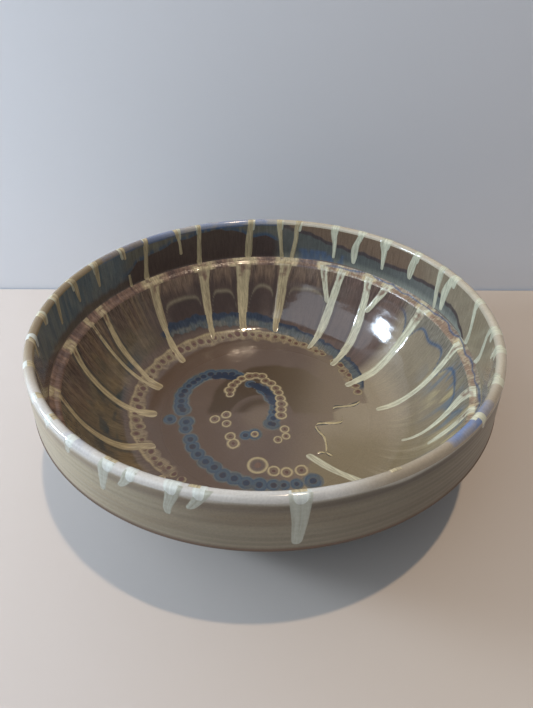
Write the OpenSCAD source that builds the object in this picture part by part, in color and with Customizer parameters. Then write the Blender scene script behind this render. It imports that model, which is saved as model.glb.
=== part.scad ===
// Punch bowl: wheel-thrown stoneware with an upright collar, a sharp edge below it, a wide
// flat floor and a turned foot ring. It is glazed in zones, with poured and trailed glaze on top.
// Millimetres, +Z up. The origin is the centre of the foot, on the table. +Y is the far side.
// Angles are counted from +X, counter-clockwise seen from above.

/* [Bowl] */
// Widest diameter, across the sharp edge under the collar
bowl_d = 360; // [350:2:370]
// Height from the table to the top of the lip
bowl_h = 124; // [122:1:128]
// Thickness of the rounded lip, glaze included
lip_t = 7.2; // [6.4:0.2:8]
// Height of the lip's centre above the sharp edge
collar_h = 38.2; // [36:0.2:40]
// Radius of the flat floor
floor_r = 104; // [98:1:108]
// Height of the floor above the table
floor_z = 14.7; // [14.7:0.1:18]

/* [Foot] */
// Outer radius of the foot ring
foot_r = 100; // [92:1:100]
// Width of the foot ring's resting face
foot_w = 9; // [6:1:14]

/* [Glaze] */
// Thickness of the glaze skin
glaze_t = 0.8; // [0.6:0.1:1]
// How far a poured run stands out of the glaze
run_t = 0.6; // [0.4:0.1:0.8]
// How far a trailed line or dot stands out of the glaze
trail_t = 0.5; // [0.3:0.1:0.6]
// Width of the bare clay line along the sharp edge
bare_w = 1.6; // [1:0.2:2.4]

/* [Decoration] */
// Width of a poured run on the collar
collar_run_w = 6.5; // [4:0.5:9]
// Number of brown dots round the edge of the floor
edge_dots = 50; // [36:1:56]
// Radius of the ring of dots round the edge of the floor
edge_ring_r = 103; // [101:1:104]

/* [Hidden] */
$fn = 120;

edge_r = bowl_d / 2;
edge_z = bowl_h - lip_t / 2 - collar_h;
lip_r = edge_r - 6.7;
lip_z = bowl_h - lip_t / 2;
base_t = 8.5;

// The inside wall: a power curve that leaves the floor level and climbs to the shoulder roll.
wall_r = edge_r - 18;
wall_z = edge_z - 5.2;
wall_pow = 2.4;
wall_n = 12;
roll_r = 4.5;
roll_n = 6;
lean = atan(wall_pow * (wall_z - floor_z) / (wall_r - floor_r));
roll_c = [wall_r + roll_r * sin(lean), wall_z - roll_r * cos(lean)];
pool_r = 1.5;
pool_c = [lip_r - 5.5, edge_z + 2];
inner_end = pool_c + [pool_r, 0];
inner_top = [lip_r - lip_t / 2, lip_z];
outer_top = [lip_r + lip_t / 2, lip_z];
outer_end = [edge_r - 0.8, edge_z + bare_w];

function unit(v) = v / norm(v);
function left_of(v) = [-v[1], v[0]];
function lerp(a, b, t) = a + (b - a) * t;
function at(c, r, a) = [c[0] + r * cos(a), c[1] + r * sin(a)];
function last(list) = len(list) - 1;
function square_to(line, i) =
    left_of(unit(line[min(i + 1, last(line))] - line[max(i - 1, 0)]));
// A line moved square to itself, towards the open side.
function moved(line, t) = [for (i = [0 : last(line)]) line[i] + t * square_to(line, i)];
function part_of(line, a, b) = [for (i = [a : b]) line[i]];
function reversed(list) = [for (i = [last(list) : -1 : 0]) list[i]];
function wall_at(x) =
    [lerp(floor_r, wall_r, x), floor_z + (wall_z - floor_z) * pow(x, wall_pow)];

// The glazed surface, from the middle of the floor up the inside, over the lip and down
// the collar to the sharp edge.
face = concat(
    [[0, floor_z], [floor_r * 0.5, floor_z], [floor_r, floor_z]],
    [for (k = [1 : wall_n]) wall_at(k / wall_n)],
    [for (k = [1 : roll_n]) at(roll_c, roll_r, lerp(90 + lean, 96, k / roll_n))],
    [for (a = [-80, -50, -20, 0]) at(pool_c, pool_r, a)],
    [for (a = [180 : -22.5 : 0]) at([lip_r, lip_z], lip_t / 2, a)],
    [outer_end]);
i_floor = 2;
i_wall = i_floor + wall_n;
i_roll = i_wall + roll_n;
i_pool = i_roll + 4;
i_lip_in = i_pool + 1;
i_lip_out = i_lip_in + 8;
i_edge = i_lip_out + 1;

// The underside, from the sharp edge in to the foot: the inside wall moved out by the
// thickness of the wall.
under_n = 9;
under = concat(
    [[edge_r - 0.9, edge_z - bare_w]],
    [for (k = [under_n : -1 : 0])
        let (x = 0.12 + 0.86 * k / under_n,
             p = wall_at(x),
             q = wall_at(x + 0.01),
             out = -left_of(unit(q - p)))
        p + (base_t + 0.5 * x * x) * out]);

module spin(points) rotate_extrude($fn = 180) polygon(points);

// A skin on a stretch of a line, between two heights above it.
function skin_points(line, a, b, low, high) =
    concat(part_of(moved(line, low), a, b), reversed(part_of(moved(line, high), a, b)));
module skin(line, a, b, low, high) spin(skin_points(line, a, b, low, high));

// The same skin over a sector from one angle to another.
module skin_sector(line, a, b, low, high, from, to)
    rotate([0, 0, from])
        rotate_extrude(angle = to - from, $fn = 180)
            polygon(skin_points(line, a, b, low, high));

// Half the angle that a width w takes up on the lip.
function half_angle(w) = w / lip_r * 90 / PI;

// Poured runs down the inside wall: [angle at the top, angle at the tip, radius at the tip,
// width at the top, width at the tip]. Those nearest -Y are out of sight and guessed.
wall_runs = [
    [4, 1, 101, 10, 5], [25, 25, 85, 13, 9], [47, 45, 96, 15, 7], [64, 64, 106, 15, 6],
    [82, 85, 121, 16, 5], [99, 101, 121, 14, 4], [115, 117, 120, 13, 4], [135, 140, 109, 9, 7],
    [158, 162, 104, 10, 8], [178, 182, 99, 8, 8], [199, 204, 103, 8, 8], [221, 223, 108, 10, 6],
    [240, 239, 100, 11, 7], [258, 259, 112, 12, 5], [276, 275, 104, 10, 6],
    [294, 296, 110, 11, 6], [312, 305, 61, 11, 7], [343, 343, 122, 9, 5]];

// Poured runs down the inside of the collar: [angle, length as a share of the collar].
collar_runs = [
    [5, 1], [20, 1], [24, 0.95], [35, 0.75], [47, 0.85], [57, 0.95], [65, 0.8], [79, 1],
    [84.5, 1], [96, 1], [114, 1], [122, 0.7], [134, 1], [142, 0.35], [154.5, 1], [164.5, 0.5],
    [174, 0.6], [183, 0.3], [195, 0.35], [203, 0.9], [221, 0.8], [231, 0.5], [241, 1],
    [258, 0.7], [276, 1], [294, 0.8], [312, 1], [332, 0.55], [344, 0.45], [352, 0.55]];

// Cream bars where the runs cross the lip: [angle, width], in order round the bowl.
rim_bars = [
    [4.5, 10], [17, 9], [23.5, 11], [34, 11], [46, 13], [57, 11], [65, 9], [78, 10], [84.5, 8],
    [94.5, 9], [114, 8], [121, 9], [133.5, 8], [143, 8], [154.5, 8], [165, 9], [174, 10],
    [182, 9], [192, 9], [203, 10], [215, 9], [223, 10], [231, 11], [241, 14], [246, 9],
    [254, 13], [259, 9], [276, 15], [318, 9], [331, 11], [343, 10], [350.5, 11]];
// The blue wash lies between the bars from wash_first to wash_last.
wash_first = 7;
wash_last = 14;

// Poured runs down the outside: [angle, bottom as a share of the collar, width]. Those on
// the far side are out of sight and guessed.
outer_runs = [
    [17, 0.5, 10], [46, 0.7, 12], [78, 0.4, 10], [114, 0.6, 9], [143, 0.35, 10],
    [174, 0.7, 11], [203, 0.3, 9], [223, 0.3, 9], [231, 0.45, 11], [240, 0.55, 13],
    [246, 0.3, 8], [254, 0.45, 12], [259, 0.22, 9], [276, 0.94, 12], [318, 0.15, 9],
    [343, 0.2, 9]];

// Arcs that the trailing nozzle follows on the floor:
// [centre, radius, from angle, to angle, number of dots, radius of a dot].
blue_arcs = [
    [[-42, 17.5], 36.5, 66, 204, 17, 6.4], [[-32, 1], 41, 58, -22, 11, 4.6],
    [[8, -4], 78.5, 182, 192, 2, 5.6], [[8, -4], 78.5, 203, 268, 12, 5.4],
    [[8, -4], 78.5, 274, 282, 2, 5]];
blue_spots = [[-84, -10, 5], [-17, -30, 4.5], [-9, -29, 5.5], [5, -22, 5], [38, -78, 8]];
yellow_arcs = [
    [[-8, 24], 26, 186, 78, 10, 4.8], [[-38, 8], 53, 42, -16, 9, 4.2]];
yellow_spots = [
    [-35, -2, 5], [-34, -9, 4.5], [-34, -16, 4.5], [-44, -10, 5], [-28, -34, 5], [-28, -41, 6],
    [17, -23, 4.5], [19, -31, 4.5], [11, -35, 4.5], [6, -68, 5.5], [17, -69, 6],
    [29, -67, 5.5]];
ring_spot = [-6, -63, 9, 6];
// Thin trailed lines that cross the floor on the right.
zigzags = [
    [[88, 14], [84, 10], [73, 7], [65, 7], [62, 1]],
    [[69, -6], [69, -12], [53, -14], [45, -17], [46, -24], [52, -34], [52, -48], [56, -52]]];
zigzag_w = 2;

function arc_dots(a) = [for (k = [0 : a[4] - 1])
    concat(at(a[0], a[1], lerp(a[2], a[3], k / (a[4] - 1))), a[5])];
function flat(lists) = [for (l = lists) for (e = l) e];
blue_dots = concat(flat([for (a = blue_arcs) arc_dots(a)]), blue_spots);
yellow_dots = concat(flat([for (a = yellow_arcs) arc_dots(a)]), yellow_spots);

// The ring of dots was trailed a little off centre, from edge_from round to edge_to.
ring_c = [-14, 13];
edge_from = 8;
edge_to = 240;
edge_dot_r = 2.2;
edge_band_w = 11;
wall_band_r = [109.5, 120];
wall_band_from = 4;
wall_band_to = 142;
wall_band_t = 0.3;

// The outline of one poured run, seen from above: two tapering sides and a round tip.
module run_outline(spec) {
    steps = 5;
    tip_n = 8;
    tip = at([0, 0], spec[2], spec[1]);
    side = [for (k = [0 : steps])
        let (t = k / steps, a = lerp(spec[0], spec[1], t))
        [at([0, 0], lerp(lip_r, spec[2], t), a),
         lerp(spec[3], spec[4], t) / 2 * at([0, 0], 1, a + 90)]];
    polygon(concat(
        [for (s = side) s[0] + s[1]],
        [for (j = [1 : tip_n - 1]) at(tip, spec[4] / 2, spec[1] + 90 + 180 * j / tip_n)],
        reversed([for (s = side) s[0] - s[1]])));
}
module all_run_outlines() for (spec = wall_runs) run_outline(spec);

// True if a dot of radius r at p keeps clear of one poured run.
function clear_of(p, r, spec) =
    let (d = norm(p), t = max(0, min(1, (lip_r - d) / (lip_r - spec[2]))),
         c = at([0, 0], lerp(lip_r, spec[2], t), lerp(spec[0], spec[1], t)))
    norm(p - c) > lerp(spec[3], spec[4], t) / 2 + r + 0.6;
function clear_of_all(p, r) = len([for (s = wall_runs) if (!clear_of(p, r, s)) s]) == 0;
ring_dots = [for (k = [0 : edge_dots - 1])
    let (p = at(ring_c, edge_ring_r, lerp(edge_from, edge_to, k / (edge_dots - 1))))
    if (clear_of_all(p, edge_dot_r)) p];

module disc(d, scale_r) translate([d[0], d[1]]) circle(r = d[2] * scale_r, $fn = 32);
module yellow_shapes() {
    for (d = yellow_dots) disc(d, 1);
    disc(ring_spot, 1);
    for (line = zigzags) {
        for (p = line) translate(p) circle(d = zigzag_w * 1.2, $fn = 16);
        for (k = [1 : last(line)])
            translate(line[k - 1])
                rotate(atan2(line[k][1] - line[k - 1][1], line[k][0] - line[k - 1][0]))
                    translate([0, -zigzag_w / 2])
                        square([norm(line[k] - line[k - 1]), zigzag_w]);
    }
}
module ring_band(inner, outer) translate(ring_c) difference() {
    circle(r = outer, $fn = 120);
    circle(r = inner, $fn = 120);
}
module wedge(from, to) polygon(concat([[0, 0]],
    [for (k = [0 : 6]) at([0, 0], bowl_d, lerp(from, to, k / 6))]));

module clay_bowl() color([0.42, 0.30, 0.22]) spin(concat(
    moved(face, -glaze_t),
    [[edge_r, edge_z]],
    moved(under, -glaze_t),
    [[foot_r + 4, floor_z - base_t], [0, floor_z - base_t]]));

module foot_ring() color([0.46, 0.34, 0.25]) spin([
    [foot_r - foot_w, 0], [foot_r, 0], [foot_r + 1, floor_z - base_t],
    [foot_r - foot_w - 3, floor_z - base_t]]);

module liner_glaze() color([0.46, 0.39, 0.35]) skin(face, 0, i_wall, -glaze_t, 0);

module ledge_glaze() color([0.43, 0.27, 0.21]) skin(face, i_wall, i_pool, -glaze_t, 0);

module collar_glaze() color([0.25, 0.23, 0.22]) skin(face, i_pool, i_lip_in, -glaze_t, 0);

module rim_glaze() color([0.72, 0.70, 0.66]) skin(face, i_lip_in, i_lip_out, -glaze_t, 0);

module outer_glaze() color([0.52, 0.50, 0.42]) skin(face, i_lip_out, i_edge, -glaze_t, 0);

module under_glaze() color([0.45, 0.42, 0.35]) skin(under, 0, under_n + 1, -glaze_t, 0);

module cream_wall_runs() color([0.80, 0.76, 0.64]) intersection() {
    skin(face, 1, i_roll, 0, run_t);
    linear_extrude(bowl_h) all_run_outlines();
}

module cream_collar_runs() color([0.82, 0.79, 0.68]) for (run = collar_runs)
    skin_sector([lerp(inner_top, inner_end, run[1]), lerp(inner_top, inner_end, 0.01)],
                0, 1, 0, run_t, run[0] - half_angle(collar_run_w), run[0] + half_angle(collar_run_w));

module cream_rim_bars() color([0.86, 0.83, 0.74]) for (bar = rim_bars)
    skin_sector(face, i_lip_in, i_lip_out, 0, run_t,
                bar[0] - half_angle(bar[1]), bar[0] + half_angle(bar[1]));

module cream_outer_runs() color([0.84, 0.82, 0.75]) for (run = outer_runs)
    skin_sector([lerp(outer_top, outer_end, 0.01), lerp(outer_top, outer_end, run[1])],
                0, 1, 0, run_t, run[0] - half_angle(run[2]), run[0] + half_angle(run[2]));

module blue_rim_wash() color([0.42, 0.50, 0.66]) for (k = [wash_first : wash_last - 1])
    skin_sector(face, i_lip_in, i_lip_out, 0, 0.25,
                rim_bars[k][0] + half_angle(rim_bars[k][1] + 1),
                rim_bars[k + 1][0] - half_angle(rim_bars[k + 1][1] + 1));

module blue_wall_band() color([0.33, 0.39, 0.47]) intersection() {
    skin(face, 1, i_wall, 0, wall_band_t);
    linear_extrude(bowl_h) difference() {
        intersection() {
            ring_band(wall_band_r[0], wall_band_r[1]);
            wedge(wall_band_from, wall_band_to);
        }
        all_run_outlines();
    }
}

module blue_floor_trail() color([0.38, 0.43, 0.50]) translate([0, 0, floor_z])
    linear_extrude(trail_t) difference() {
        for (d = blue_dots) disc(d, 1);
        for (d = blue_dots) disc(d, 0.5);
        yellow_shapes();
    }

module navy_dots() color([0.22, 0.25, 0.34]) translate([0, 0, floor_z])
    linear_extrude(trail_t) difference() {
        for (d = blue_dots) disc(d, 0.5);
        yellow_shapes();
    }

module yellow_floor_trail() color([0.76, 0.68, 0.46]) translate([0, 0, floor_z])
    linear_extrude(trail_t) difference() {
        yellow_shapes();
        for (d = yellow_dots) disc(d, 0.42);
        disc(ring_spot, 0.66);
    }

module yellow_edge_band() color([0.70, 0.62, 0.43]) intersection() {
    skin(face, 1, i_wall, 0, trail_t);
    linear_extrude(bowl_h) difference() {
        intersection() {
            ring_band(edge_ring_r - edge_band_w / 2, edge_ring_r + edge_band_w / 2);
            wedge(edge_from, edge_to);
        }
        all_run_outlines();
        for (p = ring_dots) translate(p) circle(r = edge_dot_r, $fn = 24);
    }
}

module brown_dots() color([0.40, 0.22, 0.17]) {
    translate([0, 0, floor_z]) linear_extrude(trail_t) {
        for (d = yellow_dots) disc(d, 0.42);
        disc(ring_spot, 0.5);
    }
    intersection() {
        skin(face, 1, i_wall, 0, trail_t);
        linear_extrude(bowl_h) for (p = ring_dots) translate(p) circle(r = edge_dot_r, $fn = 24);
    }
}

clay_bowl();
foot_ring();
liner_glaze();
ledge_glaze();
collar_glaze();
rim_glaze();
outer_glaze();
under_glaze();
cream_wall_runs();
cream_collar_runs();
cream_rim_bars();
cream_outer_runs();
blue_rim_wash();
blue_wall_band();
blue_floor_trail();
navy_dots();
yellow_floor_trail();
yellow_edge_band();
brown_dots();
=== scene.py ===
# Punch bowl: the glazed, decorated surfaces that go over the CAD model, and the studio round it.
# Sizes are in millimetres up to the moment a mesh is made; the scene itself is in metres.
import bpy
import math
import numpy as np
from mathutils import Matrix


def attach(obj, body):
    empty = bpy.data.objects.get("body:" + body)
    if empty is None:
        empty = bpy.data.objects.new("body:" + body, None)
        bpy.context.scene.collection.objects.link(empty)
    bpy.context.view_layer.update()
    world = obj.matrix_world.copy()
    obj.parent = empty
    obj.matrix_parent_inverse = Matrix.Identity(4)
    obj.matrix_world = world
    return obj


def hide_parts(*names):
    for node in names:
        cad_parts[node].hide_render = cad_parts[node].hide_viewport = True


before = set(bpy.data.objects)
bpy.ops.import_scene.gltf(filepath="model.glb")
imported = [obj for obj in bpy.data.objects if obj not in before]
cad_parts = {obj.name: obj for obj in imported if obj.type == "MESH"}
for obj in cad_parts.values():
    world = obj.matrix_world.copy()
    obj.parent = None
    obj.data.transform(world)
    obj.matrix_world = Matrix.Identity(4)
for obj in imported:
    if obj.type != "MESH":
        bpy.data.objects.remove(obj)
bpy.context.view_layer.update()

TAU = 2 * math.pi

# ---------------------------------------------------------------- the section of the bowl
EDGE_R, EDGE_Z = 180.0, 82.2
LIP_R, LIP_Z, LIP_HALF = 173.3, 120.4, 3.6
FLOOR_R, FLOOR_Z = 104.0, 14.7
WALL_R, WALL_Z, WALL_POW = 162.0, 77.0, 2.4
ROLL_R, POOL_R = 4.5, 1.5
POOL_C = (167.8, 84.2)
BASE_T, FOOT_R, FOOT_W = 8.5, 100.0, 9.0
# The off-centre ring at the edge of the floor, and the middle of the throwing spiral.
RING_C, RING_R = (-14.0, 13.0), 103.0
SPIRAL_C = (-3.0, -8.0)


def arc(c, r, a0, a1, n):
    a = np.radians(np.linspace(a0, a1, n))
    return np.stack([c[0] + r * np.cos(a), c[1] + r * np.sin(a)], -1)


def wall_curve(n):
    x = np.linspace(0, 1, n)
    return np.stack([FLOOR_R + (WALL_R - FLOOR_R) * x,
                     FLOOR_Z + (WALL_Z - FLOOR_Z) * x ** WALL_POW], -1)


def thrown_floor(p):
    """The hand-thrown floor: a low dome, a hollow ring round it, and a soft rise to the wall."""
    r = p[:, 0]
    sag = np.interp(r, [0, 8, 20, 33, 48, 60, 67, 78, 92, 104, 116, 128],
                    [1.5, 1.45, 1.1, 0.2, -0.7, -1.1, -1.2, -1.0, -0.5, -0.2, 0, 0])
    lower = p[:, 1] < WALL_Z - 5
    return np.stack([r, p[:, 1] + sag * lower], -1)


class Section:
    """A section line, sampled finely, with its normal and the length along it."""

    def __init__(self, points, soften=0.8):
        p = np.array(points, float)
        run = np.concatenate([[0], np.cumsum(np.hypot(*np.diff(p, axis=0).T))])
        self.s = np.linspace(0, run[-1], int(run[-1] / 0.2) + 2)
        self.p = np.stack([np.interp(self.s, run, p[:, k]) for k in (0, 1)], -1)
        half = int(3 * soften / 0.2)
        kernel = np.exp(-0.5 * (np.arange(-half, half + 1) * 0.2 / soften) ** 2)
        kernel /= kernel.sum()
        for k in (0, 1):
            ends = np.pad(self.p[:, k], half, mode="reflect", reflect_type="odd")
            self.p[:, k] = np.convolve(ends, kernel, mode="valid")
        t = np.gradient(self.p, axis=0)
        t /= np.hypot(t[:, 0], t[:, 1])[:, None]
        self.n = np.stack([-t[:, 1], t[:, 0]], -1)

    def at(self, s, h=0.0):
        """Radius and height of the points at length s, h above the surface."""
        r, z, nr, nz = [np.interp(s, self.s, v)
                        for v in (self.p[:, 0], self.p[:, 1], self.n[:, 0], self.n[:, 1])]
        return r + h * nr, z + h * nz

    def near(self, r, z):
        return self.s[np.argmin(np.hypot(self.p[:, 0] - r, self.p[:, 1] - z))]


lean = math.atan(WALL_POW * (WALL_Z - FLOOR_Z) / (WALL_R - FLOOR_R))
ROLL_C = (WALL_R + ROLL_R * math.sin(lean), WALL_Z - ROLL_R * math.cos(lean))
FLOOR_LINE = np.stack([np.linspace(0, FLOOR_R, 53), np.full(53, FLOOR_Z)], -1)
FACE = Section(np.concatenate([
    thrown_floor(np.concatenate([FLOOR_LINE[:-1], wall_curve(60)])),
    arc(ROLL_C, ROLL_R, 90 + math.degrees(lean), 96, 12)[1:],
    arc(POOL_C, POOL_R, -80, 0, 8),
    arc((LIP_R, LIP_Z), LIP_HALF, 180, 0, 24),
    [(EDGE_R - 0.5, EDGE_Z + 0.9)]]))
S_WALL = FACE.near(WALL_R, WALL_Z)
S_LEDGE = FACE.near(*POOL_C)
S_LIP_IN = FACE.near(LIP_R - LIP_HALF, LIP_Z)
S_LIP_TOP = FACE.near(LIP_R, LIP_Z + LIP_HALF)
S_LIP_OUT = FACE.near(LIP_R + LIP_HALF, LIP_Z)
S_END = FACE.s[-1]
plan_s = np.arange(0, S_WALL + 6, 0.5)
plan_r = FACE.at(plan_s)[0]


def s_of_r(r):
    """Length along the section of a point seen from above at radius r."""
    return np.interp(r, plan_r, plan_s)


# ---------------------------------------------------------------- small numeric helpers
# The glazes are painted this much lighter than the colours given for them.
LIFT = 1.15


def rgb(r, g, b):
    """A glaze colour as the eye sees it, turned into a linear one."""
    c = np.array([r, g, b]) / 255
    return LIFT * np.where(c < 0.04, c / 12.92, ((c + 0.055) / 1.055) ** 2.4)


def mix(a, b, t):
    a, b = np.asarray(a, float), np.asarray(b, float)
    return a + (b - a) * np.asarray(t, float)[..., None]


def ramp(x, a, b):
    t = np.clip((np.asarray(x, float) - a) / (b - a), 0, 1)
    return t * t * (3 - 2 * t)


def bump(x, centre, width):
    return np.exp(-((x - centre) / width) ** 2)


def field(phi, s, around, step, seed):
    """Smooth random values from -1 to 1: so many round the bowl, one every step along s."""
    g = np.random.default_rng(seed).uniform(-1, 1, (around, 97))
    u = (phi / TAU) % 1.0 * around
    v = np.abs(s) / step
    i, j = np.floor(u).astype(int), np.floor(v).astype(int)
    fu, fv = u - i, v - j
    fu, fv = fu * fu * (3 - 2 * fu), fv * fv * (3 - 2 * fv)
    i0, i1, j0, j1 = i % around, (i + 1) % around, j % 97, (j + 1) % 97
    low = g[i0, j0] + (g[i1, j0] - g[i0, j0]) * fu
    high = g[i0, j1] + (g[i1, j1] - g[i0, j1]) * fu
    return low + (high - low) * fv


def cloud(phi, s, around, step, seed):
    return (0.6 * field(phi, s, around, step, seed)
            + 0.3 * field(phi, s, around * 2, step / 2, seed + 1)
            + 0.15 * field(phi, s, around * 4, step / 4, seed + 2))


def plan_cloud(x, y, size, seed):
    """Smooth random values from -1 to 1 over the floor seen from above."""
    turn = TAU / (64 * size)
    return (0.65 * field(x * turn, y + 500, 64, size, seed)
            + 0.35 * field(x * turn * 2, y + 500, 64, size / 2, seed + 1))


def degrees_from(phi, a):
    """Signed angle in degrees from a to phi."""
    return (np.degrees(phi) - a + 180) % 360 - 180


def side(phi, centre, half, soft=12.0):
    """1 inside an arc of the bowl, falling to 0 outside it."""
    d = np.abs(degrees_from(phi, centre))
    return 1 - ramp(d, half - soft, half + soft)


def relief(x, y, s):
    """Throwing marks on the inside: a spiral at the middle of the floor, soft rings elsewhere."""
    q = np.hypot(x - SPIRAL_C[0], y - SPIRAL_C[1])
    a = np.arctan2(y, x)
    spiral = 0.05 * np.cos(TAU * q / 3.4 - a) * (1 - ramp(q, 12, 38))
    rings = 0.02 * np.sin(s * 0.62 + a) * ramp(s, 20, 45) * (1 - ramp(s, S_WALL - 10, S_WALL))
    return spiral + rings + 0.06 * field(a, s, 22, 21, 51) * ramp(s, 8, 40)


def outer_marks(phi, s):
    """Throwing marks on the outside of the collar."""
    v = s - S_LIP_OUT
    fine = 0.05 * np.sin(v * 1.55 + 0.6 * np.sin(2 * phi))
    return (fine + 0.035 * np.sin(v * 0.7 + phi)) * ramp(v, 2, 6)


# ---------------------------------------------------------------- meshes
def warp(p):
    """The slight unevenness of a hand-thrown pot, the same for every piece."""
    x, y, z = p[..., 0], p[..., 1], p[..., 2]
    a = np.arctan2(y, x)
    lift = np.clip(z / 124, 0, 1)
    k = 1 + (0.0016 * np.sin(2 * a + 0.6) + 0.0008 * np.sin(3 * a + 2.0)) * lift ** 2
    up = 0.3 * np.sin(2 * a - 0.4) * lift ** 2
    return np.stack([x * k, y * k, z + up], -1)


def from_arrays(name, verts, faces, tone, material):
    """A smooth mesh from points in millimetres, quads, and painted colours (r, g, b, streak)."""
    used = np.unique(faces)
    new_id = np.zeros(len(verts), int)
    new_id[used] = np.arange(len(used))
    p = verts[used]
    mesh = bpy.data.meshes.new(name)
    mesh.from_pydata((warp(p) * 0.001).tolist(), [], new_id[faces].tolist())
    mesh.polygons.foreach_set("use_smooth", [True] * len(mesh.polygons))
    if tone is not None:
        layer = mesh.attributes.new("tone", "FLOAT_COLOR", "POINT")
        layer.data.foreach_set("color", np.clip(tone[used], 0, 1).ravel())
        r = np.maximum(np.hypot(p[:, 0], p[:, 1]), 1e-3)
        flow = np.stack([150 * p[:, 0] / r, 150 * p[:, 1] / r, (r + p[:, 2]) / 8], -1)
        layer = mesh.attributes.new("flow", "FLOAT_VECTOR", "POINT")
        layer.data.foreach_set("vector", flow.ravel())
    mesh.update()
    mesh.materials.append(material)
    piece = bpy.data.objects.new(name, mesh)
    bpy.context.scene.collection.objects.link(piece)
    return piece


def four(tone, streak):
    """Colours with the strength of the fine streaks as a fourth value."""
    tone = np.asarray(tone, float)
    fourth = np.broadcast_to(streak, tone.shape[:-1])
    return np.concatenate([tone, fourth[..., None]], -1)


class Patches:
    """Collects grids of points, drops what is not wanted, and joins them into one piece."""

    def __init__(self, name, node, slot, material):
        self.name, self.node, self.slot, self.material = name, node, slot, material
        self.verts, self.faces, self.tones = [], [], []
        self.count = 0

    def add(self, grid, tone=None, closed=False, keep=None):
        nu, nv = grid.shape[:2]
        ids = self.count + np.arange(nu * nv).reshape(nu, nv)
        if closed:
            ids = np.concatenate([ids, ids[:1]], 0)
        quads = np.stack([ids[:-1, :-1], ids[1:, :-1], ids[1:, 1:], ids[:-1, 1:]], -1)
        if keep is not None:
            quads = quads[keep[:-1, :-1] | keep[1:, :-1] | keep[1:, 1:] | keep[:-1, 1:]]
        self.verts.append(grid.reshape(-1, 3))
        self.faces.append(quads.reshape(-1, 4))
        if tone is not None:
            self.tones.append(tone.reshape(-1, 4))
        self.count += nu * nv

    def build(self):
        tones = np.concatenate(self.tones) if self.tones else None
        piece = from_arrays(self.name, np.concatenate(self.verts), np.concatenate(self.faces),
                            tones, self.material)
        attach(piece, "root")
        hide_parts(self.node)


def on_section(phi, s, h, section=FACE):
    """Points at an angle and a length along a section, h above it."""
    r, z = section.at(s, 0.0)
    if section is FACE:
        h = h + relief(r * np.cos(phi), r * np.sin(phi), s) + outer_marks(phi, s)
    r, z = section.at(s, h)
    return np.stack([r * np.cos(phi), r * np.sin(phi), z], -1)


def plan_grid(x, y, h):
    """Points h above the inside surface, given from above."""
    return on_section(np.arctan2(y, x), s_of_r(np.hypot(x, y)), h)


def smooth_path(stations, step):
    """Stations (s, angle, width) resampled at even steps with a soft curve between them."""
    p = np.array(stations, float)
    run = np.concatenate([[0], np.cumsum(np.hypot(np.diff(p[:, 0]),
                                                  np.radians(np.diff(p[:, 1])) * 150))])
    t = np.linspace(0, run[-1], max(8, int(run[-1] / step)))
    out = np.stack([np.interp(t, run, p[:, k]) for k in range(3)], -1)
    n = max(1, int(len(t) / len(p) * 0.6))
    kernel = np.hanning(2 * n + 3)[1:-1]
    kernel /= kernel.sum()
    for k in range(3):
        ends = np.pad(out[:, k], n, mode="reflect", reflect_type="odd")
        out[:, k] = np.convolve(ends, kernel, mode="valid")
    return t, out


def ribbon(patches, stations, height, paint, under, seed, step=0.7, tips=(False, True),
           ragged=0.1, across=17, streak=0.35):
    """A raised, round-tipped run of glaze. paint(u, along, left) gives its colour."""
    t, path = smooth_path(stations, step)
    length = t[-1]
    s, a, w = path.T
    if tips[1]:
        w = w * np.sqrt(1 - (1 - np.clip((length - t) / (w[-1] * 0.6), 0, 1)) ** 2)
    if tips[0]:
        w = w * np.sqrt(1 - (1 - np.clip(t / (w[0] * 0.6), 0, 1)) ** 2)
    u = np.linspace(-1.12, 1.12, across)
    s, a, w, along = [np.repeat(v[:, None], across, 1) for v in (s, np.radians(a), w, t)]
    u = np.repeat(u[None], len(t), 0)
    edge = 1 + ragged * (field(np.sign(u) * 0.4 + 1, along + 31 * seed, 8, 8, seed)
                         + 0.35 * field(np.sign(u) * 0.4 + 1, along + 17 * seed, 8, 2.6, seed + 2))
    phi = a + u * edge * w / 2 / FACE.at(s)[0]
    body = (1 - ramp(np.abs(u), 0.55, 1.08)) * ramp(w, 0, 2.5)
    h = -0.07 + (height + 0.07) * body
    tone = mix(under(phi, s), paint(u, along, length - along), ramp(body, 0.04, 0.6))
    patches.add(on_section(phi, s, h), four(tone, streak * body))


def blob(patches, x, y, radius, height, paint, seed, rings=8, spokes=26, wobble=0.07, base=-0.03):
    """A raised round spot. paint(rho) gives its colours, rho running from 0 to 1."""
    rho = np.linspace(0, 1, rings)
    ang = np.arange(spokes) / spokes * TAU
    ang, rho = np.meshgrid(ang, rho, indexing="ij")
    rim = radius * (1 + wobble * field(ang, ang * 0 + seed * 3.1, 5, 1.0, seed))
    px, py = x + rim * rho * np.cos(ang), y + rim * rho * np.sin(ang)
    h = base + (height - base) * (1 - rho ** 3)
    patches.add(plan_grid(px, py, h), four(paint(rho), 0.1), closed=True)


# ---------------------------------------------------------------- materials
def shader(name, rough, coat):
    material = bpy.data.materials.new(name)
    material.use_nodes = True
    bsdf = material.node_tree.nodes["Principled BSDF"]
    bsdf.inputs["Roughness"].default_value = rough
    bsdf.inputs["Coat Weight"].default_value = coat
    bsdf.inputs["Coat Roughness"].default_value = 0.03
    return material, material.node_tree, bsdf


def attribute(tree, name):
    node = tree.nodes.new("ShaderNodeAttribute")
    node.attribute_name = name
    return node


def object_point(tree):
    return tree.nodes.new("ShaderNodeTexCoord").outputs["Object"]


def noise(tree, point, scale, detail, roughness=0.5):
    node = tree.nodes.new("ShaderNodeTexNoise")
    node.inputs["Scale"].default_value = scale
    node.inputs["Detail"].default_value = detail
    node.inputs["Roughness"].default_value = roughness
    tree.links.new(point, node.inputs["Vector"])
    return node.outputs["Fac"]


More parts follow.
